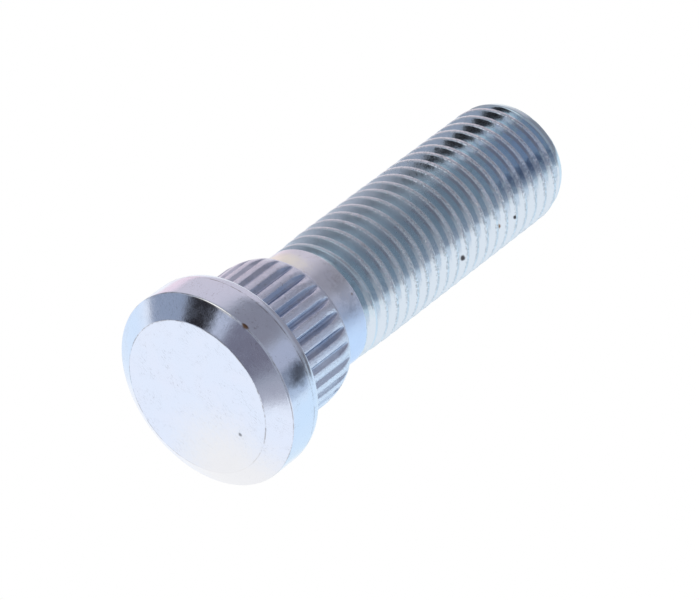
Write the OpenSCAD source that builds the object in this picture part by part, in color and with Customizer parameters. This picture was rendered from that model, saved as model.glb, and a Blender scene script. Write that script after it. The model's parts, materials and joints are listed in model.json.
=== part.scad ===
// Press-in wheel stud for a car's hub flange, forged and thread-rolled from one bar.
// It stands on the flat end of its head at z = 0, and its thread points up along +Z.

/* [Head] */
// Diameter of the head's rim
head_d = 18.6; // [17.4:0.1:22]
// Height of the head, from its flat end to its seat
head_h = 5.2; // [4.4:0.1:7]
// Diameter of the flat end of the head
head_end_d = 14.7; // [12:0.1:16]
// Height of the bevel between the flat end and the rim
head_bevel_h = 1.35; // [0.8:0.05:2]
// Height over which the rim rounds in to the seat
rim_round_h = 1.2; // [0.6:0.1:2]
// How far the rim has rounded in at the seat
rim_round_in = 0.3; // [0.1:0.05:0.6]

/* [Serrated collar] */
// Diameter over the serrations, which press into the hub
collar_d = 14.4; // [13.7:0.1:15]
// Length of the serrations at their full height, from the seat up
collar_len = 5.4; // [4:0.1:12]
// Number of serration grooves
groove_count = 30; // [20:1:36]
// Depth of a groove
groove_depth = 0.38; // [0.3:0.02:0.4]
// Width of a groove at the collar's surface
groove_w = 0.8; // [0.6:0.05:1]
// Width of a groove's flat floor
groove_floor_w = 0.3; // [0.1:0.05:0.4]
// Where the first groove sits round the axis, in degrees
groove_start = 6.8; // [0:0.2:12]
// Length of the rounded shoulder that leads the collar into its hole
shoulder_len = 2.15; // [1.4:0.05:3]
// How far the shoulder rounds in, which is more than a groove's depth
shoulder_in = 0.42; // [0.42:0.02:0.6]
// Length of the steep step from the shoulder down to the neck
step_len = 0.75; // [0.5:0.05:1.5]

/* [Neck] */
// Diameter of the neck at the foot of the collar's step
neck_d = 11.7; // [11.2:0.1:12.6]
// Length of the neck, between the collar's step and the thread
neck_len = 2.9; // [2:0.1:8]

/* [Thread] */
// Major diameter of the thread, an M12 with its usual allowance
thread_d = 11.9; // [11.7:0.02:12]
// Pitch of the thread
thread_pitch = 1.5; // [1.25:0.25:1.75]
// Length of the thread, with its rounded end
thread_len = 30.4; // [20:0.1:40]
// Diameter of the flat end of the thread
tip_d = 10.6; // [10.4:0.1:11.2]
// Length over which the crests round in to the thread's end
tip_round_h = 2.4; // [1:0.1:4]
// Turns over which the groove reaches its depth at the neck
fade_turns = 0.5; // [0.25:0.25:2]
// Turns over which the crests rise from the neck to their full diameter
crest_turns = 3; // [1:0.5:6]
// Where the helix starts round the axis, in degrees
thread_start = 58; // [0:1:359]

/* [Hidden] */
plated_steel = [0.72, 0.75, 0.80];
round_steps = 96;
// How far a cut, or a stretch that joins the next one, reaches past its own end
over = 1;

head_r = head_d / 2;
collar_r = collar_d / 2;
neck_r = neck_d / 2;
seat_z = head_h;
collar_foot_z = seat_z - over;
shoulder_z = seat_z + collar_len;
step_z = shoulder_z + shoulder_len;
neck_z = step_z + step_len;
thread_z = step_z + (step_len + neck_len);

// Rolled thread form: flanks at 60 degrees, worn crests and round roots, each a fifth of the pitch wide
crest_r = thread_d / 2;
crest_flat = thread_pitch / 5;
root_flat = thread_pitch / 5;
flank_h = (thread_pitch - crest_flat - root_flat) / 2;
thread_depth = flank_h / tan(30);
corner_rise = [0, crest_flat, crest_flat + flank_h, crest_flat + flank_h + root_flat];

// The helix is drawn in short steps; it starts and ends a little inside the thread's two ends
turn_steps = 40;
end_gap = thread_pitch / 8;
step_count = floor((thread_len - 2 * end_gap - thread_pitch) / thread_pitch * turn_steps);
// The neck meets the thread a little below its crests, and the groove starts this share deep
crest_lift = 0.14;
first_depth = 0.1;
neck_end_r = crest_r - crest_lift;
root_r = crest_r - thread_depth;
// The thread's foot stays this far inside the edge of the neck's end
foot_step = 0.02;
// Straight stretches in the rim's rounding and in the shoulder's
rim_round_steps = 4;
shoulder_steps = 3;
// Share of the step's length by which it goes on inside the neck
step_share_inside = 0.3;

module head() {
    rim_round = [
        for (i = [0 : rim_round_steps])
            let (share = i / rim_round_steps)
            [head_r - rim_round_in * share * share, head_h - rim_round_h * (1 - share)]
    ];
    rotate_extrude($fn = round_steps)
        polygon(concat([[0, 0], [head_end_d / 2, 0], [head_r, head_bevel_h]], rim_round, [[0, head_h]]));
}

// Outline of the collar across the axis: a round with a ring of grooves whose sides flare outwards
module serration_outline() {
    flare = (groove_w - groove_floor_w) / 2 / groove_depth;
    cut_depth = groove_depth + over;
    floor_half = groove_floor_w / 2;
    mouth_half = floor_half + cut_depth * flare;
    groove = [[0, floor_half], [0, -floor_half], [cut_depth, -mouth_half], [cut_depth, mouth_half]];
    difference() {
        circle(r = collar_r, $fn = round_steps);
        for (i = [0 : groove_count - 1])
            rotate(groove_start + i * 360 / groove_count)
                translate([collar_r - groove_depth, 0])
                    polygon(groove);
    }
}

// A point of the shoulder's rounding, from the full collar at 0 to the edge of the step at shoulder_steps
function shoulder_point(i) =
    let (share = i / shoulder_steps)
    [collar_r - shoulder_in * share * share, shoulder_z + shoulder_len * share];

// Envelope of the collar: open round the full serrations, then the shoulder on which the grooves run out,
// and the step down to the neck. It begins inside the head and goes on a little way inside the neck
module shoulder_envelope() {
    first = shoulder_point(1);
    edge = shoulder_point(shoulder_steps);
    slope = (collar_r - first.x) / (first.y - shoulder_z);
    inside = edge + (1 + step_share_inside) * [neck_r - edge.x, step_len];
    rotate(180 / round_steps)
        rotate_extrude($fn = round_steps)
            polygon(concat(
                [[0, collar_foot_z], [collar_r + slope * (shoulder_z - collar_foot_z), collar_foot_z]],
                [for (i = [1 : shoulder_steps]) shoulder_point(i)],
                [inside, [0, inside.y]]
            ));
}

module serrated_collar() {
    intersection() {
        translate([0, 0, collar_foot_z])
            linear_extrude(height = neck_z + over - collar_foot_z)
                serration_outline();
        shoulder_envelope();
    }
}

// The neck's taper begins at the height of the shoulder's edge, inside the step
module neck() {
    first_r = neck_r + (neck_r - neck_end_r) / neck_len * step_len;
    translate([0, 0, step_z])
        cylinder(r1 = first_r, r2 = neck_end_r, h = step_len + neck_len, $fn = round_steps);
}

// How deep the groove is at a step, from first_depth at the neck to 1
function growth(step) = min(1, first_depth + (1 - first_depth) * step / (turn_steps * fade_turns));

// Radius of the crests at a step, which rises from the neck's end to the full thread
function risen_r(step) = neck_end_r + crest_lift * min(1, step / (turn_steps * crest_turns));

// Radius that the rounded end of the thread allows at a height above the thread's start
function tip_limit(h) =
    let (share = max(0, 1 - (thread_len - h) / tip_round_h))
    crest_r - (crest_r - tip_d / 2) * share * share;

function ring_point(step, r, h) = [r * cos(360 * step / turn_steps), r * sin(360 * step / turn_steps), h];

// One corner of the thread form at one step: corners 0 and 1 bound the crest, 2 and 3 the root
function thread_point(step, corner) =
    let (
        h = end_gap + thread_pitch * step / turn_steps + corner_rise[corner],
        full_r = corner < 2 ? risen_r(step) : risen_r(step) - (risen_r(step) - root_r) * growth(step)
    )
    ring_point(step, min(full_r, tip_limit(h)), h);

module threaded_shank() {
    helix = [for (s = [0 : step_count]) for (corner = [0 : 3]) thread_point(s, corner)];
    foot = [for (s = [0 : turn_steps - 1]) ring_point(s, neck_end_r - foot_step, 0)];
    tip = [for (s = [0 : turn_steps - 1]) ring_point(step_count + s, tip_d / 2, thread_len)];
    foot_at = len(helix);
    tip_at = foot_at + turn_steps;
    last_turn = step_count - turn_steps;
    function at(s, corner) = 4 * s + corner;
    function next(s) = (s + 1) % turn_steps;

    // Crest, two flanks and root, wound along the helix
    wound = [
        for (s = [0 : step_count - 1]) for (c = [0 : 2])
            [at(s, c), at(s, c + 1), at(s + 1, c + 1), at(s + 1, c)]
    ];
    closing_flank = [
        for (s = [0 : last_turn - 1])
            [at(s, 3), at(s + turn_steps, 0), at(s + turn_steps + 1, 0), at(s + 1, 3)]
    ];
    foot_wall = [
        for (s = [0 : turn_steps - 1])
            [foot_at + s, at(s, 0), at(s + 1, 0), foot_at + next(s)]
    ];
    tip_wall = [
        for (s = [0 : turn_steps - 1])
            [at(last_turn + s, 3), tip_at + s, tip_at + next(s), at(last_turn + s + 1, 3)]
    ];
    // The small faces across the form where the helix starts and where it ends
    start_face = [
        [foot_at, at(turn_steps, 0), at(0, 3)],
        for (c = [0 : 2]) [foot_at, at(0, c + 1), at(0, c)]
    ];
    end_face = [
        [at(last_turn, 3), at(step_count, 0), at(step_count, 1)],
        [at(last_turn, 3), at(step_count, 1), at(step_count, 2)],
        [tip_at, at(last_turn, 3), at(step_count, 2)],
        [tip_at, at(step_count, 2), at(step_count, 3)]
    ];
    flat_ends = [
        [for (s = [0 : turn_steps - 1]) foot_at + s],
        [for (s = [turn_steps - 1 : -1 : 0]) tip_at + s]
    ];

    translate([0, 0, thread_z])
        rotate(thread_start)
            polyhedron(
                points = concat(helix, foot, tip),
                faces = concat(wound, closing_flank, foot_wall, tip_wall, start_face, end_face, flat_ends)
            );
}

module wheel_stud() {
    color(plated_steel) {
        head();
        serrated_collar();
        neck();
        threaded_shank();
    }
}

wheel_stud();
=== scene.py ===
"""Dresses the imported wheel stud: a press-in stud with a serrated collar and a rolled thread, zinc plated."""

import json
import logging
import math
from dataclasses import dataclass
from enum import Enum

import bmesh
import bpy
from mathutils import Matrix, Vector, noise

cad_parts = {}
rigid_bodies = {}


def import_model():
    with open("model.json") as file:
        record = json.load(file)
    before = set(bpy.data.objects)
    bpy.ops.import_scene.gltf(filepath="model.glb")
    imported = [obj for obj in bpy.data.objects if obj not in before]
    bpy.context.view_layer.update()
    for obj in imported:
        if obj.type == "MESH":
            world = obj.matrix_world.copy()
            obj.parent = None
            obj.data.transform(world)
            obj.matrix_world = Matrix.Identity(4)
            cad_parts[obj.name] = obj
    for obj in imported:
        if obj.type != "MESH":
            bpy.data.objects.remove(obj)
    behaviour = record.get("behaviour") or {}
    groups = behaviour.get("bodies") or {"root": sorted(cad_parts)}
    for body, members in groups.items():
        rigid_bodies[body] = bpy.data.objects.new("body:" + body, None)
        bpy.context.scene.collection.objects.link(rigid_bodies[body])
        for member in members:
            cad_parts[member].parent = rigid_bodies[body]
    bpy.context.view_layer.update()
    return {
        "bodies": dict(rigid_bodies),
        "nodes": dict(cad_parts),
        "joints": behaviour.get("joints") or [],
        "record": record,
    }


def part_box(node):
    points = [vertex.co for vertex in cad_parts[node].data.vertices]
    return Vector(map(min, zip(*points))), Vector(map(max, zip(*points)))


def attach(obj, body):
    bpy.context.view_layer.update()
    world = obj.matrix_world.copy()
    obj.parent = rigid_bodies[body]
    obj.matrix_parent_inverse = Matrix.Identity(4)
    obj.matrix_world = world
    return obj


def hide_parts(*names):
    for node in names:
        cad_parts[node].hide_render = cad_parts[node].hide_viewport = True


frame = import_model()

log = logging.getLogger("wheel_stud")

Point = tuple[float, float]
Color = tuple[float, float, float]
Socket = bpy.types.NodeSocket
Source = Socket | float | Color

MM = 0.001
NODE = "wheel_stud"
FULL_TURN = 2 * math.pi
COLUMNS = 240
COLUMN_TURN = FULL_TURN / COLUMNS

# Distances in millimetres within which places count as one, and a share of a column's turn that does
WELD = 0.002
CUT_SNAP = 0.0005
JOIN_REACH = 0.01
COLUMN_SNAP = 0.02


class Zone(Enum):
    """The stretches of the stud that carry a finish of their own, in the order of the material slots."""

    HEAD = 0
    COLLAR = 1
    NECK = 2
    THREAD = 3


def blend(low: float, high: float, value: float) -> float:
    """Gives 0 up to low, 1 past high and a smooth step between them."""
    share = min(1.0, max(0.0, (value - low) / (high - low)))
    return share * share * (3 - 2 * share)


def polar(radius: float, angle: float, height: float) -> Vector:
    """Gives the place at a radius, an angle round the axis and a height."""
    return Vector((radius * math.cos(angle), radius * math.sin(angle), height))


def read_off(line: tuple[Point, ...], place: float) -> float:
    """Reads a broken line at a place along it.

    Args:
        line: its points in order, each a place and a value.
        place: where to read it.

    Returns:
        The value there, or the last one past the line's end.
    """
    for (a, value_a), (b, value_b) in zip(line, line[1:]):
        if place <= b:
            return value_a + (value_b - value_a) * (place - a) / (b - a)
    return line[-1][1]


def between(start: Point, end: Point, share: float) -> Point:
    """Gives the point at a share of the way from start to end."""
    return start[0] + (end[0] - start[0]) * share, start[1] + (end[1] - start[1]) * share


def spaced(start: Point, end: Point, count: int) -> list[Point]:
    """Gives evenly spaced points along a straight line, in order, without its start and with its end."""
    return [between(start, end, (i + 1) / count) for i in range(count)]


def held(start: Point, end: Point, margin: float, count: int) -> list[Point]:
    """Gives a straight line's points with one close to each end, which keeps the shading flat between them.

    Args:
        start: first point, which is left out.
        end: last point, which is included.
        margin: distance of the holding points from the two ends.
        count: number of equal steps between the holding points.

    Returns:
        The points in order from start to end.
    """
    share = margin / math.dist(start, end)
    near = between(start, end, share)
    return [near, *spaced(near, between(end, start, share), count), end]


def without_repeats(outline: list[Point]) -> list[Point]:
    """Drops each point that lies on the one before it.

    Args:
        outline: points in order.

    Returns:
        The points that are left.
    """
    kept: list[Point] = []
    for point in outline:
        if not kept or math.dist(point, kept[-1]) > WELD:
            kept.append(point)
    return kept


def spin(bm: bmesh.types.BMesh, outline: list[Point], climb: float) -> None:
    """Spins an outline once round the axis, and merges its two ends if it doesn't climb.

    Args:
        bm: an empty mesh.
        outline: the outline's points, as radius and height.
        climb: how far it rises in the turn.
    """
    wire = [bm.verts.new((radius, 0.0, height)) for radius, height in outline]
    edges = [bm.edges.new(pair) for pair in zip(wire, wire[1:])]
    bmesh.ops.spin(
        bm,
        geom=wire + edges,
        cent=(0, 0, 0),
        axis=(0, 0, 1),
        dvec=(0, 0, climb / COLUMNS),
        angle=FULL_TURN,
        steps=COLUMNS,
        use_merge=climb == 0.0,
        use_normal_flip=False,
        use_duplicate=False,
    )


def show(name: str, data: bpy.types.ID) -> bpy.types.Object:
    """Puts a mesh, a light or a camera into the scene.

    Args:
        name: the name of its object.
        data: the mesh, the light or the camera.

    Returns:
        The object, at the origin.
    """
    thing = bpy.data.objects.new(name, data)
    bpy.context.scene.collection.objects.link(thing)
    return thing


@dataclass
class Head:
    """The round head: a flat end, a bevel, and a rim that rounds in to the seat. Sizes in millimetres.

    The margins hold the ends of its straight stretches flat. The wander is how far the edge of the flat end
    strays from its circle, and it dies out within its reach of that edge. Only what lies above the lowest
    lift rises with it.
    """

    radius: float
    height: float
    end_radius: float = 7.35
    bevel_height: float = 1.35
    back_height: float = 1.2
    back_in: float = 0.3
    edge_rounding: float = 0.07
    rim_rounding: float = 0.10
    end_margins: Point = (0.4, 0.16)
    bevel_margin: float = 0.2
    rim_margin: float = 0.25
    seat_margin: float = 0.15
    end_steps: int = 5
    bevel_steps: int = 4
    rim_steps: int = 3
    back_steps: int = 5
    seat_steps: int = 2
    wander: float = 0.035
    wander_reach: float = 0.8
    wander_scale: float = 1.1
    wander_seed: float = 7.0
    lowest_lift: float = 0.02

    def outline(self, inner_radius: float) -> list[Point]:
        """Gives the section's points from the axis round to the seat's inner edge.

        Args:
            inner_radius: radius at which the seat meets the collar.

        Returns:
            Points as radius and height.
        """
        centre = (0.0, 0.0)
        end_edge = (self.end_radius, 0.0)
        front_edge = (self.radius, self.bevel_height)
        back_edge = (self.radius, self.height - self.back_height)
        back = [self.back_at((i + 1) / self.back_steps) for i in range(self.back_steps)]
        wide, narrow = self.end_margins
        return [
            centre,
            *spaced(centre, (self.end_radius - wide, 0.0), self.end_steps),
            (self.end_radius - narrow, 0.0),
            end_edge,
            *held(end_edge, front_edge, self.bevel_margin, self.bevel_steps),
            *held(front_edge, back_edge, self.rim_margin, self.rim_steps)[:-1],
            *back,
            *held(back[-1], (inner_radius, self.height), self.seat_margin, self.seat_steps),
        ]

    def back_at(self, share: float) -> Point:
        """Gives a point of the rim's rounded back, from the rim at share 0 to the seat at share 1."""
        return self.radius - self.back_in * share * share, self.height - self.back_height * (1 - share)

    def corners(self) -> list[tuple[Point, float]]:
        """Gives the edge loops that are rounded.

        Returns:
            The radius and height of each, and its rounding.
        """
        return [
            ((self.end_radius, 0.0), self.edge_rounding),
            ((self.radius, self.bevel_height), self.rim_rounding),
            (self.back_at(1.0), self.edge_rounding),
        ]

    def settle(self, place: Vector) -> Vector:
        """Lets the edge of the flat end wander a little, as a forged edge does.

        Args:
            place: where a vertex was turned.

        Returns:
            Where it comes to lie, which is on the bevel's slope above the flat end.
        """
        radius = math.hypot(place.x, place.y)
        reach = self.wander_reach
        nearness = blend(reach, 0.0, abs(radius - self.end_radius)) * blend(reach, 0.0, place.z)
        if nearness == 0.0 or radius == 0.0:
            return place
        spot = Vector((place.x * self.wander_scale, place.y * self.wander_scale, self.wander_seed))
        push = self.wander * noise.noise(spot) * nearness
        slope = self.bevel_height / (self.radius - self.end_radius)
        rise = max(0.0, push * slope) if place.z > self.lowest_lift else 0.0
        out = Vector((place.x / radius, place.y / radius, 0.0))
        return place + out * push + Vector((0.0, 0.0, rise))


@dataclass
class SerratedCollar:
    """The pressed collar: grooves along the axis that run out on its rounded shoulder. Sizes in millimetres.

    A groove's section pairs shares of its half width with shares of its depth, from its floor to its land.
    The step is the steep hollow one from the shoulder down to the neck, and its rings stand at its shares.
    """

    radius: float
    bottom: float
    top: float
    shoulder_length: float = 2.15
    shoulder_radius: float = 6.77
    shoulder_steps: int = 24
    step_length: float = 0.75
    step_shares: tuple[float, ...] = (0.04, 0.12, 0.25, 0.4, 0.55, 0.7, 0.85, 1.0)
    step_curve: float = 1.6
    foot_radius: float = 5.85
    first_ring: float = 0.12
    land_steps: int = 6
    groove_count: int = 30
    groove_start: float = math.radians(6.8)
    groove_depth: float = 0.38
    half_width: float = math.radians(3.25)
    section: tuple[Point, ...] = ((0.0, 1.0), (0.36, 0.93), (0.92, 0.08), (1.14, 0.0))
    narrowest: float = 0.08
    uneven_share: float = 0.08
    uneven_scale: Point = (9.0, 0.25)

    @property
    def shoulder_top(self) -> float:
        """Gives the height at which the shoulder ends and the step begins."""
        return self.top + self.shoulder_length

    @property
    def foot_top(self) -> float:
        """Gives the height at which the step ends on the neck."""
        return self.shoulder_top + self.step_length

    @property
    def land_share(self) -> float:
        """Gives the share of the half width at which the land begins."""
        return self.section[-1][0]

    def outline(self) -> list[Point]:
        """Gives the section's points from above the seat to the foot of the step.

        Returns:
            Points as radius and height.
        """
        rise = self.shoulder_top - self.top
        drop = self.foot_top - self.shoulder_top
        heights = [self.top + rise * (i + 1) / self.shoulder_steps for i in range(self.shoulder_steps)]
        heights += [self.shoulder_top + drop * share for share in self.step_shares]
        return [
            (self.radius, self.bottom + self.first_ring),
            *spaced((self.radius, self.bottom), (self.radius, self.top), self.land_steps),
            *[(self.envelope(height), height) for height in heights],
        ]

    def envelope(self, height: float) -> float:
        """Gives the radius over the lands: full, then rounded on the shoulder, then hollow on the step.

        Args:
            height: height above the head's flat end.

        Returns:
            The radius there.
        """
        if height > self.shoulder_top:
            left = 1 - min(1.0, (height - self.shoulder_top) / (self.foot_top - self.shoulder_top))
            return self.foot_radius + (self.shoulder_radius - self.foot_radius) * left**self.step_curve
        share = max(0.0, (height - self.top) / (self.shoulder_top - self.top))
        return self.radius - (self.radius - self.shoulder_radius) * share * share

    def mouth_at(self, loss: float) -> float:
        """Gives how wide the groove is where it has run out on the shoulder.

        Args:
            loss: how far the shoulder has fallen, as a share of the groove's depth.

        Returns:
            The share of the half width at which the groove is that deep.
        """
        for (near, deep), (far, shallow) in zip(self.section, self.section[1:]):
            if shallow <= loss <= deep:
                return near + (far - near) * (deep - loss) / (deep - shallow)
        return 0.0 if loss > 1 else self.land_share

    def settle(self, column: int, height: float) -> tuple[float, float, float]:
        """Gives where a column of the collar stands at a height.

        Args:
            column: the column's number, from 0.
            height: height above the head's flat end.

        Returns:
            The column's angle, its radius, and its depth in the groove from 0 to 1.
        """
        per_groove = COLUMNS // self.groove_count
        groove, place = divmod(column - round(self.groove_start / COLUMN_TURN), per_groove)
        middle = per_groove // 2
        pitch = FULL_TURN / self.groove_count
        limit = self.envelope(height)
        if place == middle:
            return self.groove_start + (groove + 0.5) * pitch, limit, 0.0
        loss = (self.radius - limit) / self.groove_depth
        scale = max(self.narrowest, self.mouth_at(loss) / self.land_share)
        side = self.section[min(place, per_groove - place)][0]
        share = (-side if place > middle else side) * scale
        angle = self.groove_start + share * self.half_width
        angle += (groove + (place > middle)) * pitch
        across, along = self.uneven_scale
        uneven = 1 + self.uneven_share * noise.noise(polar(across, angle, height * along))
        cut = self.radius - self.groove_depth * uneven * read_off(self.section, abs(share))
        return angle, min(cut, limit), max(0.0, (limit - cut) / self.groove_depth)


@dataclass
class Neck:
    """The short plain neck between the collar's step and the thread. Sizes in millimetres.

    The turned part of the mesh and the wound one are welded on it, at the height of the join.
    """

    bottom: float
    bottom_radius: float
    top: float
    top_radius: float = 5.81
    hollow: float = 0.03
    join: float = 16.0
    steps: int = 8

    def radius_at(self, height: float) -> float:
        """Gives the neck's radius, a little hollow between its two ends.

        Args:
            height: height above the head's flat end.

        Returns:
            The radius there.
        """
        share = (height - self.bottom) / (self.top - self.bottom)
        straight = self.bottom_radius + (self.top_radius - self.bottom_radius) * share
        return straight - self.hollow * math.sin(math.pi * min(1.0, max(0.0, share)))

    def outline(self) -> list[Point]:
        """Gives the section's points from the collar's step to the join.

        Returns:
            Points as radius and height.
        """
        rise = self.join - self.bottom
        heights = [self.bottom + rise * (i + 1) / self.steps for i in range(self.steps)]
        return [(self.radius_at(height), height) for height in heights]


@dataclass
class ThreadedShank:
    """The rolled right-hand thread, wound from one pitch of its form. Sizes in millimetres.

    The half form runs from the middle of a crest to the middle of the root, as offsets along the axis and
    depths below the crest, and the other half mirrors it. The crests reach their full radius over the length
    of the growth. The start cuts are heights above the thread's start, and the tip cuts are shares of the
    tip's length.
    """

    radius: float
    start: float
    end: float
    neck: Neck
    pitch: float = 1.5
    crest_height: float = 16.495
    tip_radius: float = 5.3
    tip_length: float = 2.4
    tip_edge: float = 0.1
    tip_inset: float = 0.12
    growth: float = 4.5
    run_out_slope: float = 1.5
    wear: float = 0.03
    wear_from: float = 0.15
    wear_depth: float = 0.2
    wear_scale: Point = (14.0, 1.3)
    start_cuts: tuple[float, ...] = (-0.02, 0.1, 0.22, 0.36)
    tip_cuts: tuple[float, ...] = (0.5, 0.4, 0.3, 0.23, 0.16, 0.1, 0.04, 0.02)
    half_form: tuple[Point, ...] = (
        (0.0, 0.0),
        (0.13, 0.004),
        (0.19, 0.03),
        (0.25, 0.10),
        (0.42, 0.392),
        (0.60, 0.70),
        (0.67, 0.765),
        (0.75, 0.785),
    )

    def wind(self, bm: bmesh.types.BMesh) -> None:
        """Winds the form into a tube that is longer than the thread, and cuts it to length.

        Args:
            bm: an empty mesh.
        """
        turns_below = math.ceil((self.crest_height - self.neck.join) / self.pitch + 1)
        base = self.crest_height - self.pitch * turns_below
        turns = math.ceil((self.end - base) / self.pitch) + 1
        offsets = [offset for offset, _ in self.half_form]
        offsets += [self.pitch - offset for offset in reversed(offsets[:-1])]
        spin(bm, [(self.radius, base + offset) for offset in offsets], self.pitch)
        turn = bm.verts[:] + bm.edges[:] + bm.faces[:]
        for i in range(1, turns):
            copy = bmesh.ops.duplicate(bm, geom=turn)
            verts = [v for v in copy["geom"] if isinstance(v, bmesh.types.BMVert)]
            bmesh.ops.translate(bm, verts=verts, vec=(0, 0, self.pitch * i))
        bmesh.ops.remove_doubles(bm, verts=bm.verts, dist=WELD)

        cuts = [self.start + rise for rise in self.start_cuts]
        cuts += [self.end - self.tip_length * share for share in self.tip_cuts]
        for height in cuts:
            self.slice(bm, height)
        self.slice(bm, self.neck.join, clear_below=True)
        self.slice(bm, self.end, clear_above=True)

    @staticmethod
    def slice(
        bm: bmesh.types.BMesh, height: float, clear_below: bool = False, clear_above: bool = False
    ) -> None:
        """Cuts the mesh across the axis.

        Args:
            bm: the mesh.
            height: where the cut goes.
            clear_below: whether what lies below the cut is taken away.
            clear_above: whether what lies above it is.
        """
        bmesh.ops.bisect_plane(
            bm,
            geom=bm.verts[:] + bm.edges[:] + bm.faces[:],
            dist=CUT_SNAP,
            plane_co=(0, 0, height),
            plane_no=(0, 0, 1),
            clear_inner=clear_below,
            clear_outer=clear_above,
        )

    def tip_limit(self, height: float) -> float:
        """Gives the radius that the rounded tip and its edge allow.

        Args:
            height: height above the head's flat end.

        Returns:
            The largest radius there.
        """
        left = self.end - height
        share = max(0.0, 1 - left / self.tip_length)
        edge = max(0.0, self.tip_edge - left)
        return self.radius - (self.radius - self.tip_radius) * share * share - edge

    def settle(self, angle: float, height: float) -> tuple[float, float]:
        """Gives where the shank's surface lies.

        Args:
            angle: angle round the axis.
            height: height above the head's flat end.

        Returns:
            The radius there, and the depth in the groove from 0 to 1.
        """
        land = self.neck.radius_at(min(height, self.start))
        if height <= self.start:
            return land, 0.0
        crest = self.crest_height + self.pitch * angle / FULL_TURN
        offset = (height - crest) % self.pitch
        groove = read_off(self.half_form, min(offset, self.pitch - offset))
        across, along = self.wear_scale
        nick = noise.noise(polar(across, angle, height * along))
        wear = self.wear * max(0.0, nick - self.wear_from) * blend(self.wear_depth, 0.0, groove)
        risen = land + (self.radius - land) * blend(self.start, self.start + self.growth, height)
        run_out = self.neck.top_radius - self.run_out_slope * (height - self.start)
        radius = min(max(risen - groove - wear, run_out), self.tip_limit(height))
        root_depth = self.half_form[-1][1]
        return radius, min(1.0, max(0.0, (self.radius - radius) / root_depth))


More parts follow.
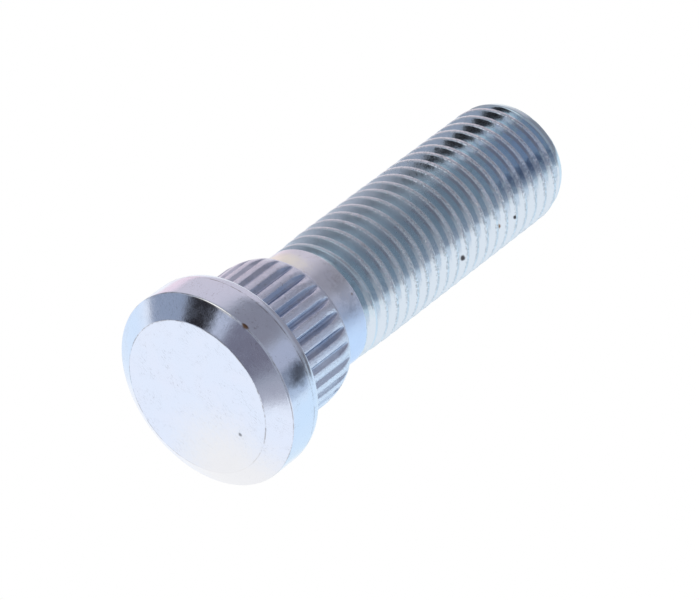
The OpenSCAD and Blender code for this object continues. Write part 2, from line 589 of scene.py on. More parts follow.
@dataclass
class WheelStud:
    """The whole stud, one piece of steel: its sections are turned, wound and welded into one closed mesh.

    The margins, in millimetres, keep the faces at the collar's two ends in the zones that they belong to.
    """

    head: Head
    collar: SerratedCollar
    neck: Neck
    shank: ThreadedShank
    groove_depths: str = "groove_depth"
    rounding_segments: int = 3
    seat_margin: float = 0.02
    shoulder_margin: float = 0.05

    @classmethod
    def from_frame(cls, packed: dict) -> "WheelStud":
        """Reads the stud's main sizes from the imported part.


        Returns:
            The stud, in millimetres.
        """
        _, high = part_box(NODE)
        mounts = {mount["name"]: mount for mount in packed["record"]["mounts"]}
        serrations, thread = mounts["serrations"]["dims"], mounts["thread"]["dims"]
        seat = mounts["seat"]["pos_m"][2] / MM
        thread_start = mounts["thread"]["pos_m"][2] / MM
        collar = SerratedCollar(radius=serrations["r_mm"], bottom=seat, top=seat + serrations["length_mm"])
        neck = Neck(bottom=collar.foot_top, bottom_radius=collar.foot_radius, top=thread_start)
        return cls(
            head=Head(radius=high.x / MM, height=seat),
            collar=collar,
            neck=neck,
            shank=ThreadedShank(radius=thread["r_mm"], start=thread_start, end=high.z / MM, neck=neck),
        )

    def turn(self, bm: bmesh.types.BMesh) -> None:
        """Turns the head, the collar and the neck from one outline, and rounds the head's edges.

        Args:
            bm: an empty mesh.
        """
        outline = self.head.outline(self.collar.radius) + self.collar.outline() + self.neck.outline()
        spin(bm, without_repeats(outline), 0.0)
        bmesh.ops.remove_doubles(bm, verts=bm.verts, dist=WELD)
        for (radius, height), rounding in self.head.corners():
            loop = [e for e in bm.edges if all(self.is_at(v.co, radius, height) for v in e.verts)]
            bmesh.ops.bevel(
                bm,
                geom=loop,
                offset=rounding,
                offset_type="OFFSET",
                segments=self.rounding_segments,
                profile=0.5,
                affect="EDGES",
                material=-1,
                clamp_overlap=True,
            )

    @staticmethod
    def is_at(place: Vector, radius: float, height: float) -> bool:
        """Tells whether a vertex lies on the ring of that radius and height."""
        return abs(math.hypot(place.x, place.y) - radius) < WELD and abs(place.z - height) < WELD

    def cut_grooves(self, bm: bmesh.types.BMesh, depths: bmesh.types.BMLayerItem) -> None:
        """Moves the turned vertices into the collar's grooves and lets the head's edge wander.

        On the step and the neck the columns go back to even spacing, which they reach at the join.

        Args:
            bm: the turned mesh.
            depths: the layer that takes the depth in a groove.
        """
        collar, neck = self.collar, self.neck
        for v in bm.verts:
            radius, height = math.hypot(v.co.x, v.co.y), v.co.z
            if radius < WELD:
                continue
            v.co = self.head.settle(v.co)
            if radius > collar.radius + WELD or height < collar.bottom - WELD:
                continue
            column = round(math.atan2(v.co.y, v.co.x) % FULL_TURN / COLUMN_TURN) % COLUMNS
            angle, cut, depth = collar.settle(column, height)
            even = column * COLUMN_TURN
            angle = even + (angle - even) * blend(neck.join, collar.shoulder_top, height)
            if height > neck.bottom:
                cut, depth = radius, 0.0
            v.co = polar(cut, angle, height)
            v[depths] = depth

    def shape_shank(self, bm: bmesh.types.BMesh, depths: bmesh.types.BMLayerItem) -> None:
        """Gives every vertex of the wound tube its radius, closes the tip and evens the join.

        Args:
            bm: the wound mesh.
            depths: the layer that takes the depth in a groove.
        """
        for v in bm.verts:
            angle, height = math.atan2(v.co.y, v.co.x), v.co.z
            radius, v[depths] = self.shank.settle(angle, height)
            v.co = polar(radius, angle, height)
        top = self.shank.end - WELD
        tip_edges = [e for e in bm.edges if e.is_boundary and all(v.co.z > top for v in e.verts)]
        bmesh.ops.edgeloop_fill(bm, edges=tip_edges)
        tip = [f for f in bm.faces if len(f.verts) > COLUMNS // 2]
        bmesh.ops.inset_region(bm, faces=tip, thickness=self.shank.tip_inset, use_even_offset=True)
        foot = [v for v in bm.verts if v.is_boundary and abs(v.co.z - self.neck.join) < WELD]
        bmesh.ops.dissolve_verts(bm, verts=[v for v in foot if not self.on_column(v.co)])

    @staticmethod
    def on_column(place: Vector) -> bool:
        """Tells whether a vertex stands on one of the evenly spaced columns."""
        share = math.atan2(place.y, place.x) / COLUMN_TURN
        return abs(share - round(share)) < COLUMN_SNAP

    def zone_at(self, place: Vector) -> Zone:
        """Tells which stretch of the stud a face belongs to.

        Args:
            place: the face's middle.

        Returns:
            The zone, whose value is the face's material slot.
        """
        radius = math.hypot(place.x, place.y)
        if place.z < self.collar.bottom or radius > self.collar.radius + self.seat_margin:
            return Zone.HEAD
        if place.z < self.collar.shoulder_top + self.shoulder_margin:
            return Zone.COLLAR
        return Zone.NECK if place.z < self.shank.start else Zone.THREAD

    def make_shank(self) -> bpy.types.Mesh:
        """Makes the threaded shank as a mesh of its own, which is open at the join.

        Returns:
            The mesh, in millimetres.
        """
        bm = bmesh.new()
        depths = bm.verts.layers.float.new(self.groove_depths)
        self.shank.wind(bm)
        self.shape_shank(bm, depths)
        mesh = bpy.data.meshes.new("shank")
        bm.to_mesh(mesh)
        bm.free()
        return mesh

    def make_mesh(self) -> bpy.types.Mesh:
        """Turns the stud as far as the join and welds the shank to it.

        Returns:
            The closed mesh, in metres.
        """
        shank = self.make_shank()
        bm = bmesh.new()
        depths = bm.verts.layers.float.new(self.groove_depths)
        self.turn(bm)
        self.cut_grooves(bm, depths)
        bm.from_mesh(shank)
        bpy.data.meshes.remove(shank)
        rims = [v for v in bm.verts if v.is_boundary]
        bmesh.ops.remove_doubles(bm, verts=rims, dist=JOIN_REACH)
        bmesh.ops.recalc_face_normals(bm, faces=bm.faces)
        for face in bm.faces:
            face.smooth = True
            face.material_index = self.zone_at(face.calc_center_median()).value
        open_edges = sum(1 for e in bm.edges if not e.is_manifold)
        volume = bm.calc_volume(signed=True)
        triangles = sum(len(f.verts) - 2 for f in bm.faces)
        bmesh.ops.scale(bm, vec=(MM, MM, MM), verts=bm.verts)
        mesh = bpy.data.meshes.new("wheel_stud_body")
        bm.to_mesh(mesh)
        bm.free()
        log.info("wheel_stud_body: %d triangles, %d open edges, %.0f mm3", triangles, open_edges, volume)
        return mesh

    def build(self) -> bpy.types.Object:
        """Makes the stud's object, with even shading; its finishes are added in main.

        Returns:
            The object, at the origin and in metres.
        """
        body = show("wheel_stud_body", self.make_mesh())
        body.modifiers.new("even shading", "WEIGHTED_NORMAL")
        return body


class Sheet:
    """Short calls that lay out the nodes of one material or of the world."""

    def __init__(self, tree: bpy.types.NodeTree) -> None:
        """Empties a node tree and keeps it."""
        self.tree = tree
        tree.nodes.clear()

    def add(self, kind: str, **settings: object) -> bpy.types.Node:
        """Adds a node and sets its own properties.

        Args:
            kind: the node's type.
            settings: its properties by name.

        Returns:
            The node.
        """
        node = self.tree.nodes.new(kind)
        for name, value in settings.items():
            setattr(node, name, value)
        return node

    def join(self, source: Source, target: Socket) -> None:
        """Links a socket, or writes a plain value, into a socket.

        Args:
            source: the socket or the value.
            target: the socket that takes it.
        """
        if isinstance(source, Socket):
            self.tree.links.new(source, target)
        elif isinstance(source, tuple) and target.type == "RGBA":
            target.default_value = (*source, 1.0)
        else:
            target.default_value = source

    def math(self, operation: str, a: Source, b: Source = 0.0) -> Socket:
        """Adds a Math node.

        Args:
            operation: what it works out.
            a: its first value.
            b: its second value, where it has one.

        Returns:
            The result.
        """
        node = self.add("ShaderNodeMath", operation=operation)
        self.join(a, node.inputs[0])
        self.join(b, node.inputs[1])
        return node.outputs[0]

    def vector(self, operation: str, a: Source, b: Source = (0.0, 0.0, 0.0)) -> Socket:
        """Adds a Vector Math node.

        Args:
            operation: what it works out.
            a: its first vector.
            b: its second vector, where it has one.

        Returns:
            The result, which is a number for a length and a dot product.
        """
        node = self.add("ShaderNodeVectorMath", operation=operation)
        self.join(a, node.inputs[0])
        self.join(b, node.inputs[1])
        return node.outputs["Value" if operation in ("LENGTH", "DOT_PRODUCT") else "Vector"]

    def ramp(self, value: Source, low: float, high: float, to: Point = (0.0, 1.0)) -> Socket:
        """Adds a smooth Map Range.

        Args:
            value: what is mapped.
            low: the value that becomes the first number in to.
            high: the value that becomes the second one.
            to: the two numbers.

        Returns:
            The mapped value, which stays between the two numbers.
        """
        node = self.add("ShaderNodeMapRange", interpolation_type="SMOOTHSTEP")
        self.join(value, node.inputs["Value"])
        self.join(low, node.inputs["From Min"])
        self.join(high, node.inputs["From Max"])
        self.join(to[0], node.inputs["To Min"])
        self.join(to[1], node.inputs["To Max"])
        return node.outputs["Result"]

    def mix(self, share: Source, a: Source, b: Source) -> Socket:
        """Mixes two colours.

        Args:
            share: the second colour's share.
            a: the first colour.
            b: the second colour.

        Returns:
            The mixed colour.
        """
        node = self.add("ShaderNodeMix", data_type="RGBA", blend_type="MIX")
        # The node's colour sockets come after the ones for numbers and vectors
        first, second, mixed = node.inputs[6], node.inputs[7], node.outputs[2]
        self.join(share, node.inputs["Factor"])
        self.join(a, first)
        self.join(b, second)
        return mixed


class Surface(Sheet):
    """The sheet of one material, with what its finish reads from the mesh.

    That is the place in millimetres, the depth in a groove from 0 to 1, and a wobble that frays the marks.
    """

    wobbles_per_mm: float = 2.5

    def __init__(self, tree: bpy.types.NodeTree, attribute: str) -> None:
        """Empties a node tree and adds what is read.

        Args:
            tree: the material's node tree.
            attribute: the mesh attribute that holds the depth in a groove.
        """
        super().__init__(tree)
        coordinates = self.add("ShaderNodeTexCoord").outputs["Object"]
        self.place = self.vector("MULTIPLY", coordinates, (1 / MM, 1 / MM, 1 / MM))
        self.depth = self.add("ShaderNodeAttribute", attribute_name=attribute).outputs["Fac"]
        self.wobble = Grain(self.wobbles_per_mm).wobble(self)


@dataclass(frozen=True)
class Grain:
    """A noise over the surface: its features per millimetre, its finer layers and how strong they are.

    A stretch makes the features that many times finer along the axes.
    """

    scale: float
    detail: float = 3.0
    rough: float = 0.6
    stretch: Color | None = None

    def value(self, surface: Surface) -> Socket:
        """Adds the noise.

        Args:
            surface: the material's sheet.

        Returns:
            Its value, from 0 to 1.
        """
        place = surface.place
        if self.stretch:
            place = surface.vector("MULTIPLY", place, self.stretch)
        node = surface.add("ShaderNodeTexNoise")
        surface.join(place, node.inputs["Vector"])
        surface.join(self.scale, node.inputs["Scale"])
        surface.join(self.detail, node.inputs["Detail"])
        surface.join(self.rough, node.inputs["Roughness"])
        return node.outputs["Fac"]

    def wobble(self, surface: Surface) -> Socket:
        """Gives the noise round zero, which frays an edge."""
        return surface.math("SUBTRACT", self.value(surface), 0.5)


@dataclass(frozen=True)
class Pattern:
    """A noise that is cut to islands with soft edges, which begin at low and are at full strength at high."""

    grain: Grain
    low: float
    high: float

    def spread(self, surface: Surface, to: Point = (0.0, 1.0)) -> Socket:
        """Lays the pattern out, from the first number of to between its islands to the second one on them."""
        return surface.ramp(self.grain.value(surface), self.low, self.high, to)


@dataclass(frozen=True)
class Mark:
    """A stain, a nick, a tinted patch of the plating or a patch of painted light, each at a given place.

    Attributes:
        angle: angle round the axis, in degrees.
        height: height above the head's flat end, in millimetres.
        radius: radius of the surface there, in millimetres.
        size: the mark's own radius, in millimetres.
        color: its colour, which a mark that only dulls the plating doesn't use.
        share: its strength in the middle.
        soft: width of its edge, as a share of its size.
        fray: how much its edge frays.
        stretch: how much longer it is round the axis, and along it.
        reach: how much further it goes into the metal than over it, in millimetres.
    """

    angle: float
    height: float
    radius: float
    size: float
    color: Color = (0.5, 0.5, 0.5)
    share: float = 1.0
    soft: float = 0.5
    fray: float = 0.5
    stretch: Point = (1.0, 1.0)
    reach: float = 0.8

    def mask(self, surface: Surface) -> Socket:
        """Gives the mark's strength over the surface.

        Args:
            surface: the material's sheet.

        Returns:
            A value from 0 to the mark's share.
        """
        angle = math.radians(self.angle)
        away = surface.vector("SUBTRACT", surface.place, tuple(polar(self.radius, angle, self.height)))
        round_it = (-math.sin(angle), math.cos(angle), 0.0)
        along = (0.0, 0.0, 1.0)
        inward = tuple(polar(1.0, angle, 0.0))
        sizes = (self.size * self.stretch[0], self.size * self.stretch[1], self.size + self.reach)
        shares = surface.add("ShaderNodeCombineXYZ")
        for direction, size, socket in zip((round_it, along, inward), sizes, shares.inputs):
            distance = surface.vector("DOT_PRODUCT", away, direction)
            surface.join(surface.math("DIVIDE", distance, size), socket)
        distance = surface.vector("LENGTH", shares.outputs[0])
        frayed = surface.math("ADD", distance, surface.math("MULTIPLY", surface.wobble, self.fray * 2))
        return surface.ramp(frayed, 1.0 + self.soft, max(0.0, 1.0 - self.soft), (0.0, self.share))


@dataclass(frozen=True)
class Zinc:
    """Bright zinc plating on one stretch of the stud, with painted light in its colour. Sizes and heights in
    millimetres.

    Attributes:
        name: the material's name.
        land: colour outside the grooves.
        groove: colour in the grooves, which frays out over the fray on patches of the fray's size. Where it is
            darker than the land, it is painted shade.
        tint: colour of wide clouds, at the tint's share.
        marks: stains, specks and patches that have a colour, some of them painted highlights, reflections and
            shade.
        dulled: patches that add their share to the roughness.
        edges: radius and height of each turned edge that carries a thin broken line of dirt.
        edge_core: share of that line's width within which it is at full strength.
        grime: colour of that line, of blotches and of scuffs, each at its own share.
        painted_glint_share: share of the white glints outside the grooves, which are painted highlights.
        crumble: height of the crumbs outside the grooves.
        drawn: height of fine streaks along the axis.
        mottle_height: height of the uneven plating, in patches of the mottle's size.
        clouds: where the tint lies. The patterns after it do the same for what they are named after.
        scuffed: the wide areas that have scuffs.
        broken: where the turned edges carry their line.
        shake: how that line strays from its edge.
        groove_edge: depth at which the groove's colour is at its full, and the limits are the depths down to
            which the painted glints and the crumbs go.
    """

    name: str
    land: Color
    groove: Color
    tint: Color
    marks: tuple[Mark, ...] = ()
    dulled: tuple[Mark, ...] = ()
    edges: tuple[Point, ...] = ()
    edge_width: float = 0.09
    edge_core: float = 0.3
    edge_share: float = 0.6
    fray: float = 0.0
    fray_size: float = 0.25
    tint_share: float = 0.25
    grime: Color = (0.20, 0.17, 0.15)
    grime_share: float = 0.25
    scuff_share: float = 0.0
    # Painted highlights: share of white glints in the colour
    painted_glint_share: float = 0.0
    crumble: float = 0.0
    drawn: float = 0.0
    roughness: float = 0.16
    roughness_spread: float = 0.10
    mottle_size: float = 0.45
    mottle_height: float = 0.006
    grain_height: float = 0.0015
    clouds: Pattern = Pattern(Grain(0.35, 2.0, 0.5), 0.40, 0.65)
    blotches: Pattern = Pattern(Grain(1.1, 4.0, 0.6), 0.55, 0.75)
    scuffs: Pattern = Pattern(Grain(2.4, 5.0, 0.8, stretch=(1.0, 3.2, 1.6)), 0.54, 0.63)
    scuffed: Pattern = Pattern(Grain(0.55, 2.0, 0.5), 0.45, 0.62)
    glints: Pattern = Pattern(Grain(3.6, 3.0, 0.75), 0.60, 0.66)
    crumbs: Pattern = Pattern(Grain(4.5, 3.0, 0.7), 0.50, 0.62)
    broken: Pattern = Pattern(Grain(0.9, 5.0, 0.8), 0.38, 0.62)
    smears: Pattern = Pattern(Grain(0.9, 3.0, 0.6), 0.3, 0.7)
    shake: Grain = Grain(4.0, rough=0.7)
    grain: Grain = Grain(9.0, 2.0, 0.5)
    streaks: Grain = Grain(1.0, stretch=(6.0, 6.0, 0.7))
    groove_edge: float = 0.18
    painted_glint_limit: float = 0.14
    crumb_limit: float = 0.16

    def material(self, attribute: str) -> bpy.types.Material:
        """Builds the finish's node material.

        Args:
            attribute: the mesh attribute that holds the depth in a groove.

        Returns:
            The material.
        """
        material = bpy.data.materials.new(self.name)
        material.use_nodes = True
        surface = Surface(material.node_tree, attribute)
        bump = surface.add("ShaderNodeBump")
        surface.join(1.0, bump.inputs["Strength"])
        surface.join(MM, bump.inputs["Distance"])
        surface.join(self.relief(surface), bump.inputs["Height"])
        metal = surface.add("ShaderNodeBsdfPrincipled")
        surface.join(1.0, metal.inputs["Metallic"])
        surface.join(self.color(surface), metal.inputs["Base Color"])
        surface.join(self.dullness(surface), metal.inputs["Roughness"])
        surface.join(bump.outputs["Normal"], metal.inputs["Normal"])
        output = surface.add("ShaderNodeOutputMaterial")
        surface.join(metal.outputs[0], output.inputs["Surface"])
        return material

    def color(self, surface: Surface) -> Socket:
        """Lays the plating's colours over each other, from its ground to its marks, with painted shade in the
        grooves and painted glints.

        Args:
            surface: the material's sheet.

        Returns:
            The colour.
        """
        wobble = Grain(1 / self.fray_size, rough=0.7).wobble(surface)
        frayed = surface.math("ADD", surface.depth, surface.math("MULTIPLY", wobble, self.fray))
        # Painted shade: the grooves take the groove colour, which is darker on the collar and the thread
        base = surface.mix(surface.ramp(frayed, 0.0, self.groove_edge), self.land, self.groove)
        base = surface.mix(self.clouds.spread(surface, (0.0, self.tint_share)), base, self.tint)
        base = surface.mix(self.blotches.spread(surface, (0.0, self.grime_share)), base, self.grime)
        scuffs = self.scuffs.spread(surface, (0.0, self.scuff_share))
        scuffs = surface.math("MULTIPLY", scuffs, self.scuffed.spread(surface))
        base = surface.mix(scuffs, base, self.grime)
        # Painted highlights: white glints on the lands
        glints = self.glints.spread(surface, (0.0, self.painted_glint_share))
        glints = surface.math("MULTIPLY", glints, surface.ramp(surface.depth, self.painted_glint_limit, 0.0))
        base = surface.mix(glints, base, (1.0, 1.0, 1.0))
        for edge in self.edges:
            base = surface.mix(self.edge_mask(surface, edge), base, self.grime)
        # Stains, specks, tinted patches and marks of painted light, each in its own colour
        for mark in self.marks:
            base = surface.mix(mark.mask(surface), base, mark.color)
        return base

    def edge_mask(self, surface: Surface, edge: Point) -> Socket:
        """Gives a thin broken line of dirt along a turned edge.

        Args:
            surface: the material's sheet.
            edge: the edge's radius and height.

        Returns:
            The line's strength, from 0 to its share.
        """
        across = surface.vector("LENGTH", surface.vector("MULTIPLY", surface.place, (1.0, 1.0, 0.0)))
        along = surface.vector("DOT_PRODUCT", surface.place, (0.0, 0.0, 1.0))
        out = surface.math("POWER", surface.math("SUBTRACT", across, edge[0]), 2.0)
        up = surface.math("POWER", surface.math("SUBTRACT", along, edge[1]), 2.0)
        away = surface.math("SQRT", surface.math("ADD", out, up))
        shaky = surface.math("MULTIPLY", self.shake.wobble(surface), self.edge_width)
        away = surface.math("ADD", away, shaky)
        line = surface.ramp(away, self.edge_width, self.edge_width * self.edge_core)
        return surface.math("MULTIPLY", line, self.broken.spread(surface, (0.0, self.edge_share)))

    def dullness(self, surface: Surface) -> Socket:
        """Gives the plating's roughness, with its smears and its dulled patches.

        Args:
            surface: the material's sheet.

        Returns:
            The roughness.
        """
        rough = self.smears.spread(surface, (self.roughness, self.roughness + self.roughness_spread))
        for mark in self.dulled:
            rough = surface.math("ADD", rough, mark.mask(surface))
        return rough

    def relief(self, surface: Surface) -> Socket:
        """Gives the height of the plating's mottle, grain, streaks and crumbs.

        Args:
            surface: the material's sheet.

        Returns:
            The height in millimetres.
        """
        mottle = Grain(1 / self.mottle_size).value(surface)
        height = surface.math("MULTIPLY", mottle, self.mottle_height)
        grain = surface.math("MULTIPLY", self.grain.value(surface), self.grain_height)
        height = surface.math("ADD", height, grain)
        if self.drawn:
            streaks = surface.math("MULTIPLY", self.streaks.value(surface), self.drawn)
            height = surface.math("ADD", height, streaks)
        if self.crumble:
            crumbs = self.crumbs.spread(surface, (0.0, self.crumble))
            crumbs = surface.math("MULTIPLY", crumbs, surface.ramp(surface.depth, self.crumb_limit, 0.0))
            height = surface.math("ADD", height, crumbs)
        return height


BRIGHT: Color = (0.755, 0.83, 0.985)
BROWN: Color = (0.22, 0.13, 0.08)
SOOT: Color = (0.07, 0.07, 0.08)

# Radius in millimetres at which the marks of each stretch are placed
RIM = 9.3
COLLAR = 7.2
NECK = 5.83
THREAD = 5.93

HEAD_MARKS: tuple[Mark, ...] = (
    # A pale haze on the bevel, and dark smudges on the rim
    Mark(22.0, 0.9, 8.6, 5.0, (0.86, 0.86, 0.88), share=0.9, soft=0.6, fray=0.3),
    Mark(-67.0, 3.4, RIM, 0.75, SOOT, share=0.7, soft=0.7, fray=0.6, stretch=(1.2, 1.2)),
    Mark(-64.5, 2.5, RIM, 0.45, SOOT, share=0.4, soft=0.8, fray=0.6, stretch=(0.9, 1.3)),
    Mark(-68.0, 4.5, 9.2, 0.8, SOOT, share=0.4, soft=0.6, fray=0.6, stretch=(1.6, 0.6)),
    # A painted highlight along a stretch of the rim's edge, a brown nick in it, and a short dark scratch on
    # the flat end
    Mark(-124.0, 1.32, 9.27, 0.09, (1.0, 1.0, 1.0), soft=0.6, fray=0.9, stretch=(24.0, 1.0)),
    Mark(-104.1, 1.45, 9.25, 0.22, BROWN, soft=0.4, fray=0.4, stretch=(1.6, 0.8)),
    Mark(-18.3, 0.0, 5.0, 0.07, SOOT, share=0.7, fray=0.8, stretch=(2.6, 1.0), reach=0.1),
)

COLLAR_MARKS: tuple[Mark, ...] = (
    # Painted light: lighter patches on the collar's two sides
    Mark(-165.0, 9.0, COLLAR, 3.6, (0.74, 0.76, 0.88), share=0.7, soft=0.4, fray=0.3, stretch=(1.0, 2.0)),
    Mark(-24.0, 9.0, COLLAR, 3.9, (0.76, 0.84, 0.98), share=0.75, soft=0.3, fray=0.3, stretch=(1.0, 2.0)),
)

NECK_MARKS: tuple[Mark, ...] = (
    # Painted reflections: a warm side and a blue one
    Mark(-158.0, 14.3, NECK, 2.0, (0.98, 1.0, 0.90), share=0.95, fray=0.3, stretch=(1.6, 0.6)),
    Mark(-40.0, 14.6, NECK, 3.6, (0.62, 0.75, 1.0), share=0.8, soft=0.4, fray=0.3),
    # A brown speck, and a soft grey patch near the thread's start
    Mark(-80.0, 16.0, NECK, 0.12, BROWN, share=0.6, soft=0.6, fray=0.6),
    Mark(-84.0, 15.4, NECK, 1.1, (0.36, 0.36, 0.40), share=0.3, soft=0.6, fray=1.6, stretch=(1.5, 0.8)),
)

THREAD_MARKS: tuple[Mark, ...] = (
    # Blue and grey patches on the near side, and among them a dark streak that is a painted dark reflection
    Mark(-86.0, 42.0, THREAD, 2.2, (0.50, 0.62, 0.84), share=0.5, soft=0.7, fray=2.2, stretch=(1.3, 1.8)),
    Mark(-71.0, 41.5, THREAD, 0.8, (0.22, 0.28, 0.40), share=0.7, soft=0.6, fray=1.4, stretch=(0.9, 4.5)),
    Mark(-100.0, 27.0, THREAD, 2.6, (0.50, 0.60, 0.68), share=0.6, soft=0.8, fray=1.2, stretch=(1.0, 3.0)),
    # Painted light: paler bands along the thread's two sides
    Mark(-172.0, 31.0, THREAD, 2.8, (0.90, 0.93, 1.0), share=0.75, soft=0.7, fray=0.4, stretch=(1.0, 7.0)),
    Mark(-29.0, 31.0, THREAD, 3.5, (0.70, 0.78, 0.87), soft=0.35, stretch=(1.0, 6.5)),
    # Dark specks
    Mark(-37.8, 30.95, THREAD, 0.16, SOOT, soft=0.4, fray=0.3, stretch=(2.0, 0.7)),
    Mark(-38.8, 36.8, THREAD, 0.14, BROWN, soft=0.4, fray=0.3, stretch=(2.0, 0.7)),
    Mark(-41.3, 38.6, THREAD, 0.12, SOOT, soft=0.4, fray=0.3, stretch=(1.6, 0.7)),
)

FINISHES: dict[Zone, Zinc] = {
    Zone.HEAD: Zinc(
        name="zinc_head",
        land=BRIGHT,
        groove=BRIGHT,
        tint=(0.80, 0.83, 0.96),
        marks=HEAD_MARKS,
        edges=((7.35, 0.0), (9.3, 1.35), (9.29, 4.25)),
        grime_share=0.05,
        scuff_share=0.35,
        roughness=0.13,
        roughness_spread=0.08,
    ),
    Zone.COLLAR: Zinc(
        name="zinc_collar",
        land=(0.74, 0.80, 0.96),
        # Painted shade: darker, bluer grooves
        groove=(0.38, 0.47, 0.66),
        tint=(0.72, 0.72, 0.80),
        marks=COLLAR_MARKS,
        fray=0.3,
        scuff_share=0.35,
        roughness=0.28,
        mottle_size=0.25,
        drawn=0.03,
        crumble=0.012,
    ),
    Zone.NECK: Zinc(
        name="zinc_neck",
        land=(0.84, 0.88, 1.0),
        groove=(0.84, 0.88, 1.0),
        tint=(0.86, 0.86, 0.88),
        marks=NECK_MARKS,
        roughness=0.3,
        mottle_size=0.6,
    ),
    Zone.THREAD: Zinc(
        name="zinc_thread",
        land=(0.72, 0.75, 0.84),
        # Painted shade: darker, teal valleys
        groove=(0.58, 0.71, 0.80),
        tint=(0.60, 0.71, 0.79),
        marks=THREAD_MARKS,
        dulled=(Mark(-150.0, 21.0, THREAD, 5.2, share=0.24, stretch=(1.1, 2.4)),),
        edges=((5.25, 46.78),),
        edge_width=0.16,
        fray=1.0,
        fray_size=0.22,
        # Painted highlights: white glints on the crests
        painted_glint_share=1.0,
        roughness=0.12,
        roughness_spread=0.06,
        mottle_size=0.35,
        crumble=0.035,
    ),
}


@dataclass(frozen=True)
class Pose:
    """How the photographed stud lies: its axis and the camera, told by elevation and bearing in degrees.

    Bearing 0 points from the stud to the camera, and a positive one turns to the picture's right. Distances
    are in millimetres, and the focal length and the picture's width in pixels.
    """

    axis_elevation: float = -4.71
    axis_bearing: float = 143.2
    camera_elevation: float = 40.5
    camera_distance: float = 424.45
    offset_right: float = 12.96
    offset_up: float = 8.24
    focal_length: float = 5000.0
    picture_width: float = 699.0

    @staticmethod
    def direction(elevation: float, bearing: float) -> Vector:
        """Gives a unit vector as right, away from the camera, and up."""
        e, b = math.radians(elevation), math.radians(bearing)
        return Vector((math.sin(b) * math.cos(e), -math.cos(b) * math.cos(e), math.sin(e)))

    def axes(self) -> tuple[Vector, Vector, Vector]:
        """Gives the stud's own X, Y and Z.

        Returns:
            The three directions in the lying frame.
        """
        axis = self.direction(self.axis_elevation, self.axis_bearing)
        camera = self.direction(self.camera_elevation, 0.0)
        y = -(camera - axis * camera.dot(axis)).normalized()
        return y.cross(axis), y, axis

    def to_stud(self, lying: Vector) -> Vector:
        """Turns a direction from the lying frame into the stud's frame."""
        return Vector([lying.dot(a) for a in self.axes()])

    def camera_frame(self) -> tuple[Vector, Vector, Vector]:
        """Gives the camera's own axes.

        Returns:
            Its right, up and back in the lying frame.
        """
        back = self.direction(self.camera_elevation, 0.0)
        right = Vector((1.0, 0.0, 0.0))
        return right, back.cross(right), back


@dataclass(frozen=True)
class Patch:
    """A soft round patch of the surroundings that the metal mirrors, all but its colour in degrees.

    The softness is the width of its edge, outside its radius.
    """

    elevation: float
    bearing: float
    radius: float
    softness: float
    color: Color


@dataclass(frozen=True)
class Lamp:
    """A square soft lamp that faces the stud, in metres and watts."""

    name: str
    place: tuple[float, float, float]
    size: float
    power: float

    def hang(self) -> None:
        """Hangs the lamp, which the metal doesn't mirror."""
        light = bpy.data.lights.new(self.name, "AREA")
        light.size = self.size
        light.energy = self.power
        lamp = show(self.name, light)
        lamp.location = self.place
        lamp.rotation_mode = "QUATERNION"
        lamp.rotation_quaternion = (-Vector(self.place)).to_track_quat("-Z", "Y")
        lamp.visible_glossy = False


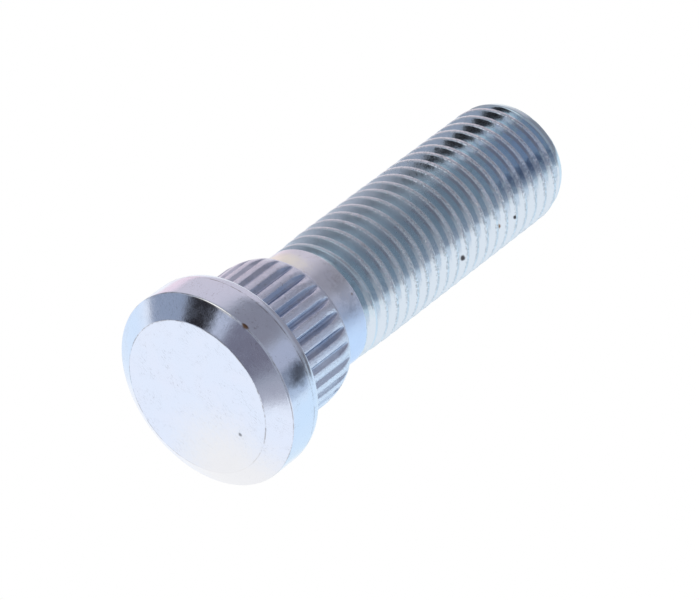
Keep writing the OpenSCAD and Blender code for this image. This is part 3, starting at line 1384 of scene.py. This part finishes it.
@dataclass(frozen=True)
class Studio:
    """The white room: a pale floor, soft lamps, and the surroundings that the metal mirrors.

    Those are white below the horizon, as the table is, and grey above it, with soft patches on both. The
    horizon is a band between two elevations in degrees. Sizes are in metres.
    """

    pose: Pose
    below: Color = (1.0, 1.0, 1.0)
    above: Color = (0.40, 0.41, 0.45)
    room: Color = (0.62, 0.62, 0.64)
    horizon: Point = (-9.0, -3.0)
    floor_color: Color = (0.86, 0.86, 0.87)
    floor_size: float = 1.5
    floor_gap: float = 0.05 * MM
    sensor_width: float = 36.0
    clip: Point = (0.05, 10.0)
    lamps: tuple[Lamp, ...] = (
        Lamp("key_lamp", (-0.45, -0.55, 0.75), 0.5, 8.0),
        Lamp("fill_lamp", (0.65, 0.25, 0.6), 0.6, 4.0),
    )
    patches: tuple[Patch, ...] = (
        Patch(-40, 118, 26, 16, (0.79, 0.92, 1.0)),
        Patch(-30, -128, 14, 16, (0.84, 0.93, 1.0)),
        Patch(18, 180, 16, 20, (0.71, 0.64, 0.67)),
        Patch(-12, -166, 4, 8, (1.0, 0.80, 0.84)),
        Patch(45, 130, 13, 14, (0.27, 0.26, 0.29)),
        Patch(-2, 139, 14, 8, (0.31, 0.30, 0.33)),
        Patch(-13, 124, 5, 5, (0.26, 0.26, 0.28)),
        Patch(21, 99, 5, 9, (0.47, 0.49, 0.57)),
        Patch(-7, 94, 3, 8, (0.48, 0.56, 0.66)),
        Patch(4, 94, 4, 6, (0.22, 0.25, 0.31)),
        Patch(8, -98, 14, 4, (0.33, 0.37, 0.45)),
        Patch(21, -29, 12, 13, (0.20, 0.19, 0.23)),
        Patch(62, -88, 12, 8, (1.0, 1.0, 1.0)),
        Patch(26, -74, 10, 4, (0.02, 0.018, 0.02)),
        Patch(31, -54, 3, 4, (0.60, 0.62, 0.70)),
        Patch(-6, -12, 4, 7, (0.44, 0.43, 0.47)),
    )

    def world(self) -> None:
        """Builds the world: white to the camera, and the surroundings to glossy rays."""
        world = bpy.data.worlds.new("studio")
        world.use_nodes = True
        world.cycles.sampling_method = "NONE"
        bpy.context.scene.world = world
        sheet = Sheet(world.node_tree)
        ray = sheet.add("ShaderNodeTexCoord").outputs["Generated"]
        up = self.pose.to_stud(Vector((0.0, 0.0, 1.0)))
        low, high = (math.sin(math.radians(elevation)) for elevation in self.horizon)
        above = sheet.ramp(sheet.vector("DOT_PRODUCT", ray, tuple(up)), low, high)
        color = sheet.mix(above, self.below, self.above)
        for patch in self.patches:
            aim = self.pose.to_stud(self.pose.direction(patch.elevation, patch.bearing))
            facing = sheet.vector("DOT_PRODUCT", ray, tuple(aim))
            outer = math.cos(math.radians(patch.radius + patch.softness))
            inner = math.cos(math.radians(patch.radius))
            color = sheet.mix(sheet.ramp(facing, outer, inner), color, patch.color)
        path = sheet.add("ShaderNodeLightPath")
        mirrored = sheet.math("MAXIMUM", path.outputs["Is Glossy Ray"], path.outputs["Is Transmission Ray"])
        color = sheet.mix(mirrored, self.room, color)
        color = sheet.mix(path.outputs["Is Camera Ray"], color, (1.0, 1.0, 1.0))
        background = sheet.add("ShaderNodeBackground")
        sheet.join(color, background.inputs["Color"])
        output = sheet.add("ShaderNodeOutputWorld")
        sheet.join(background.outputs[0], output.inputs["Surface"])

    def floor(self) -> None:
        """Lays the pale floor, which is seen from above only."""
        mesh = bpy.data.meshes.new("floor")
        bm = bmesh.new()
        bmesh.ops.create_grid(bm, x_segments=1, y_segments=1, size=self.floor_size)
        bmesh.ops.translate(bm, verts=bm.verts, vec=(0, 0, -self.floor_gap))
        bm.to_mesh(mesh)
        bm.free()
        floor = show("floor", mesh)
        floor.visible_glossy = False
        material = bpy.data.materials.new("pale_floor")
        material.use_nodes = True
        sheet = Sheet(material.node_tree)
        pale = sheet.add("ShaderNodeBsdfDiffuse")
        sheet.join(self.floor_color, pale.inputs["Color"])
        clear = sheet.add("ShaderNodeBsdfTransparent")
        choose = sheet.add("ShaderNodeMixShader")
        sheet.join(sheet.add("ShaderNodeNewGeometry").outputs["Backfacing"], choose.inputs[0])
        sheet.join(pale.outputs[0], choose.inputs[1])
        sheet.join(clear.outputs[0], choose.inputs[2])
        output = sheet.add("ShaderNodeOutputMaterial")
        sheet.join(choose.outputs[0], output.inputs["Surface"])
        mesh.materials.append(material)

    def camera(self) -> None:
        """Sets the camera where the photograph was taken from."""
        pose = self.pose
        right, up, back = pose.camera_frame()
        place = back * pose.camera_distance + right * pose.offset_right + up * pose.offset_up
        data = bpy.data.cameras.new("camera")
        data.sensor_width = self.sensor_width
        data.lens = self.sensor_width * pose.focal_length / pose.picture_width
        data.clip_start, data.clip_end = self.clip
        camera = show("camera", data)
        turn = camera.matrix_world.to_3x3()
        for i, axis in enumerate((right, up, back)):
            turn.col[i] = pose.to_stud(axis)
        camera.rotation_mode = "QUATERNION"
        camera.rotation_quaternion = turn.to_quaternion()
        camera.location = pose.to_stud(place) * MM
        bpy.context.scene.camera = camera

    def build(self) -> None:
        """Makes the camera, the world, the floor and the lamps."""
        self.camera()
        self.world()
        self.floor()
        for lamp in self.lamps:
            lamp.hang()


def main() -> None:
    """Builds the studio and the stud."""
    logging.basicConfig(level=logging.INFO, format="%(name)s %(message)s")
    bpy.context.scene.view_settings.view_transform = "Standard"
    Studio(Pose()).build()
    log.info("studio: camera, world, floor and lamps")
    stud = WheelStud.from_frame(frame)
    body = stud.build()
    for zone in Zone:
        body.data.materials.append(FINISHES[zone].material(stud.groove_depths))
        log.info("%s: %s", zone.name.lower(), FINISHES[zone].name)
    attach(body, "root")
    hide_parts(NODE)


if __name__ == "__main__":
    main()
